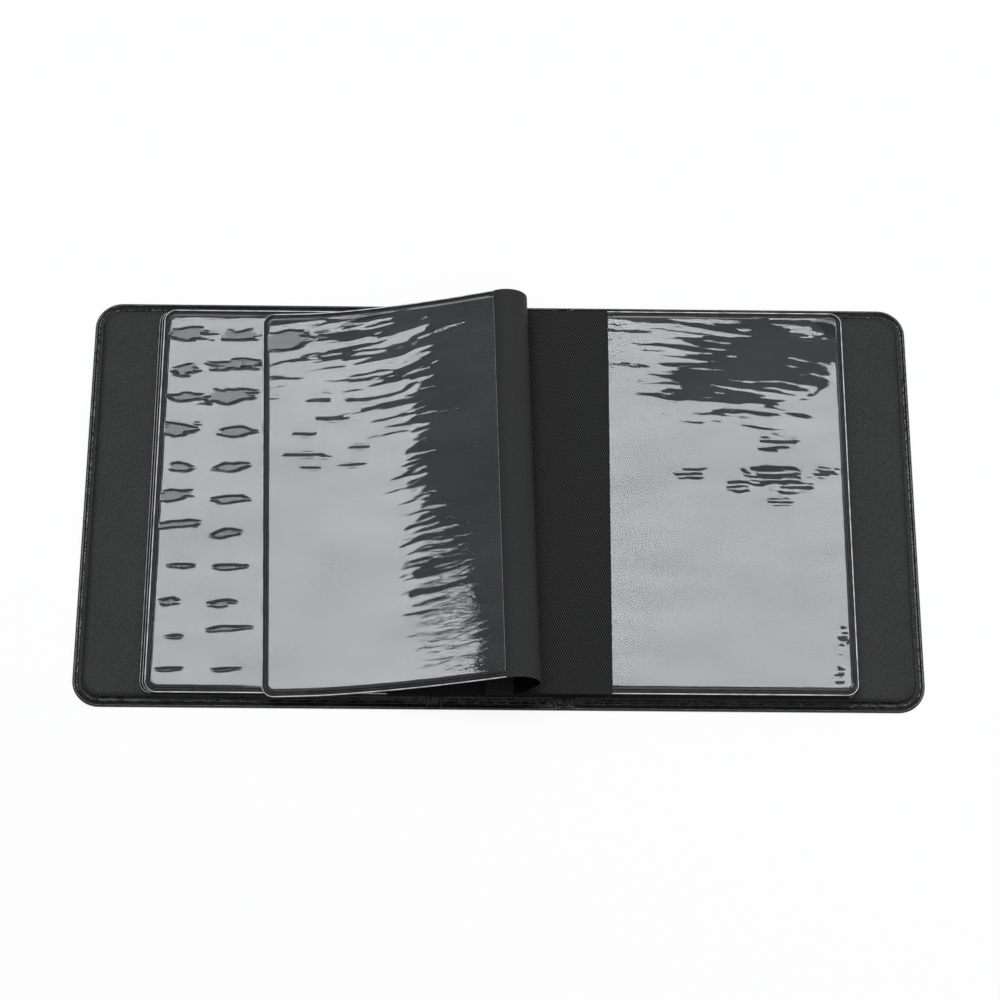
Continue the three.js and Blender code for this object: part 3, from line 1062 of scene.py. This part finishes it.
# The half-turned leaf
def turned_height(x):
    """The height of the half-turned leaf's middle, from the loop's crest down to the pile"""
    cx, cz = LOOP_CENTRE
    leave = math.radians(LOOP_LEAVE)
    start_x = cx + LOOP_RADIUS * math.cos(leave)
    start_z = cz + LOOP_RADIUS * math.sin(leave)
    if x > start_x:
        return cz + math.sqrt(LOOP_RADIUS ** 2 - (x - cx) ** 2)
    run, drop = start_x - TOUCH_DOWN, start_z - TURNED_Z
    share = max((x - TOUCH_DOWN) / run, 0)
    return TURNED_Z + drop * share ** (math.tan(leave - math.pi / 2) * run / drop)


def loop_point(degrees):
    """A point of the loop's middle line, by its direction from the loop's centre"""
    a = math.radians(degrees)
    return (LOOP_CENTRE[0] + LOOP_RADIUS * math.cos(a), LOOP_CENTRE[1] + LOOP_RADIUS * math.sin(a))


def turned_place(path):
    """Puts (length along the leaf, y, height over it) in space, in the leaf's own slightly turned frame"""
    def place(u, v, h):
        x, z, tx, tz = path.frame(u)
        lx, lz = x + tz * h - LOOP_CENTRE[0], z - tx * h
        return (
            LOOP_CENTRE[0] + lx * math.cos(LOOP_YAW) - v * math.sin(LOOP_YAW),
            LOOP_Y + lx * math.sin(LOOP_YAW) + v * math.cos(LOOP_YAW),
            lz,
        )
    return place


def make_turned_leaf():
    """The half-turned leaf: its root rises in the loop, and its panel runs on down to the pile"""
    half = size_of("leaf_05_backing")[4]
    tab_z = TAB_LEVELS["leaf_04"]
    foot = rounded([(-TAB_END, tab_z), (TAB_BEND, tab_z), ROOT_BEND, loop_point(LOOP_FOOT)])
    root_steps = int((LOOP_HANDOVER - LOOP_FOOT) / LOOP_ROOT_STEP)
    arc = [loop_point(LOOP_FOOT + i * LOOP_ROOT_STEP) for i in range(1, root_steps + 1)]
    root_path = Path(foot + arc)

    def flat(sign):
        return lambda u, v: sign * HALF_BACKING

    yaw_place = turned_place(root_path)

    def root_place(u, v, h):
        # The tab lies square under the strip and takes up the leaf's turn where it rises
        turned_x, turned_y, height = yaw_place(u, v, h)
        x, z, tx, tz = root_path.frame(u)
        t = smooth(6, 14, u - TAB_END)
        return ((x + tz * h) * (1 - t) + turned_x * t, v * (1 - t) + turned_y * t, height)

    def faces_inwards(face):
        x = face.center.x - LOOP_CENTRE[0] * MM
        z = face.center.z - LOOP_CENTRE[1] * MM
        return x * face.normal.x + z * face.normal.z < 0

    root = slab("leaf_04_root_sheet", (0, root_path.length, -half, half), (0, 0, 0, 0), [0, 0.5, 1.5],
                40, 60, flat(1), flat(-1), root_place)
    # The loop's twill is the lit copy, painted paler for the light on it
    dress(root, LIT_ARCHED_TWILL, ["leaf_04_tab", "leaf_04_fold"])
    # Painted shade: the loop's inward faces take the near-black weld finish so that the inside of the loop
    # stays dark
    root.data.materials.append(WELD)
    for face in root.data.polygons:
        face.material_index = int(faces_inwards(face))
    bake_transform(root)

    crest_steps = int((LOOP_LEAVE - LOOP_HANDOVER) / LOOP_CREST_STEP)
    over = [loop_point(LOOP_HANDOVER + i * LOOP_CREST_STEP) for i in range(crest_steps)]
    slope = []
    x = loop_point(LOOP_LEAVE)[0]
    while x > TOUCH_DOWN - 4:
        slope.append((x, turned_height(x)))
        x -= 1.0
    path = Path(over + slope + [(TURNED_EDGE, TURNED_Z)])
    place = turned_place(path)
    edge = path.length
    tenths = range(int(10 * path.length))
    film_start = next(i * 0.1 for i in tenths if path.at(i * 0.1)[0] < TURNED_FILM)
    top, bottom = backing_faces(film_start, edge, half)
    panel = slab("leaf_04_sheet", (0, edge, -half, half), (0, LEAF_CORNER, LEAF_CORNER, 0), FINE_RINGS,
                 int(edge / BENDING_STEP), 46, top, bottom, place)
    # The bare crest takes the lit copy of the twill, painted paler for the light on it
    dress(panel, LIT_ARCHED_TWILL, ["leaf_04_backing"])
    finish_faces(panel, COVERED_TWILL, lambda u, v: u > film_start)
    pieces = [panel]
    rect = (film_start, edge, -half, half)
    for face, word in ((1, "upper"), (-1, "lower")):
        relief = turned_page if face > 0 else still
        sheet = make_film(f"leaf_04_clear_{word}", face, rect, half, relief, place, face > 0, BENDING_STEP)
        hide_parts(f"leaf_04_film_{word}")
        pieces.append(sheet)
    pieces.append(make_knurls("leaf_04_knurls", rect, half, place))
    for piece in pieces:
        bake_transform(piece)
    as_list(pieces[1:])


# Stage, in metres
FLOOR_REACH = 12
FLOOR_GLOW = 0.88
WORLD_STRENGTH = 0.36
LAMP_HEIGHT = 2.0
MIRRORED_RADIANCE = 5.5
MIRRORED_SPIN = math.radians(-3)
DAYLIGHT = (0.96, 0.98, 1)
# The boxes whose mirror images lie in the films: middle and size. The wide one fills the flat pages and the
# start of the slope, and its wing and tongue light the slope near the leaf's foot
MIRRORED_BOXES = [
    ("far_box", (-0.035, 0.73), (2.37, 0.72)),
    ("far_box_wing", (-1.34, 0.6), (0.26, 0.2)),
    ("far_box_tongue", (-1.33, 0.77), (0.24, 0.05)),
]


def make_floor():
    """A white floor that keeps the album's soft shadow"""
    mesh = bpy.data.meshes.new("floor")
    corners = [(-1, -1), (1, -1), (1, 1), (-1, 1)]
    mesh.from_pydata([(x * FLOOR_REACH, y * FLOOR_REACH, 0) for x, y in corners], [], [(0, 1, 2, 3)])
    floor = bpy.data.objects.new("floor", mesh)
    bpy.context.collection.objects.link(floor)
    floor.location.z = -0.0001
    material, nodes, links, shader = new_material("floor_white")
    shader.inputs["Base Color"].default_value = (0.95, 0.95, 0.95, 1)
    shader.inputs["Roughness"].default_value = 0.9
    shader.inputs["Specular IOR Level"].default_value = 0
    glow = nodes.new("ShaderNodeEmission")
    glow.inputs["Strength"].default_value = 1
    path = nodes.new("ShaderNodeLightPath")
    seen = math_node(nodes, links, "MAXIMUM", path.outputs["Is Camera Ray"], path.outputs["Is Glossy Ray"])
    seen = math_node(nodes, links, "MAXIMUM", seen, path.outputs["Is Transmission Ray"])
    share = math_node(nodes, links, "MULTIPLY", seen, FLOOR_GLOW)
    mixed = nodes.new("ShaderNodeMixShader")
    links.new(share, mixed.inputs[0])
    links.new(shader.outputs[0], mixed.inputs[1])
    links.new(glow.outputs[0], mixed.inputs[2])
    links.new(mixed.outputs[0], nodes["Material Output"].inputs["Surface"])
    mesh.materials.append(material)


def softbox(name, centre, target, size, radiance, colour=(1, 1, 1), spin=0.0):
    """A square lamp at centre that faces target, with the brightness of its own face"""
    lamp = bpy.data.lights.new(name, "AREA")
    lamp.shape = "RECTANGLE"
    lamp.size, lamp.size_y = size
    lamp.energy = radiance * math.pi * size[0] * size[1]
    lamp.color = colour
    holder = bpy.data.objects.new(name, lamp)
    bpy.context.collection.objects.link(holder)
    aim = (Vector(target) - Vector(centre)).to_track_quat("-Z", "Y")
    turn = aim.to_matrix().to_4x4() @ Matrix.Rotation(spin, 4, "Z")
    holder.matrix_world = Matrix.Translation(centre) @ turn


def light_the_stage():
    """Plain daylight all round, the mirrored boxes overhead and two dimmer boxes"""
    world = bpy.data.worlds.new("studio")
    bpy.context.scene.world = world
    world.use_nodes = True
    background = world.node_tree.nodes["Background"]
    background.inputs["Color"].default_value = (0.98, 0.99, 1, 1)
    background.inputs["Strength"].default_value = WORLD_STRENGTH
    for name, (x, y), size in MIRRORED_BOXES:
        softbox(name, (x, y, LAMP_HEIGHT), (x, y, 0), size, MIRRORED_RADIANCE, DAYLIGHT, MIRRORED_SPIN)
    softbox("side_box", (1.9, 0.1, 1.2), (0, 0, 0), (0.9, 0.9), 3.5)
    softbox("front_box", (0.5, -1.3, 1.7), (0, 0, 0), (1.3, 1.0), 0.7)


# The camera of the photograph
def make_camera():
    """Fitted to the covers' corners and edges in the photograph"""
    azimuth, elevation, roll = math.radians(1.982), math.radians(68), math.radians(2.353)
    distance, focal_pixels, frame_pixels = 1.1761, 2665.1, 1000
    aimed_at = Vector((-0.00003, 0.00155, 0))
    forward = Vector((
        math.sin(azimuth) * math.cos(elevation),
        math.cos(azimuth) * math.cos(elevation),
        -math.sin(elevation),
    ))
    right = Vector((math.cos(azimuth), -math.sin(azimuth), 0))
    up = right.cross(forward)
    right_rolled = math.cos(roll) * right + math.sin(roll) * up
    up_rolled = math.cos(roll) * up - math.sin(roll) * right
    data = bpy.data.cameras.new("camera")
    data.sensor_width = 36
    data.lens = focal_pixels * data.sensor_width / frame_pixels
    data.clip_start, data.clip_end = 0.01, 50
    camera = bpy.data.objects.new("camera", data)
    bpy.context.collection.objects.link(camera)
    turn = Matrix((right_rolled, up_rolled, -forward)).transposed().to_4x4()
    camera.matrix_world = Matrix.Translation(aimed_at - distance * forward) @ turn
    bpy.context.scene.camera = camera


make_camera()
light_the_stage()
make_floor()
half_height = make_cover("front_cover", -1)
make_cover("back_cover", 1)
make_spine(half_height)
make_hinge("front_cover", -1, half_height)
make_hinge("back_cover", 1, half_height)
make_pile(-1, (1, 2, 3), left_page)
make_pile(1, (10, 9, 8, 7, 6, 5), right_page)
make_turned_leaf()

bpy.context.scene.view_settings.view_transform = "Standard"
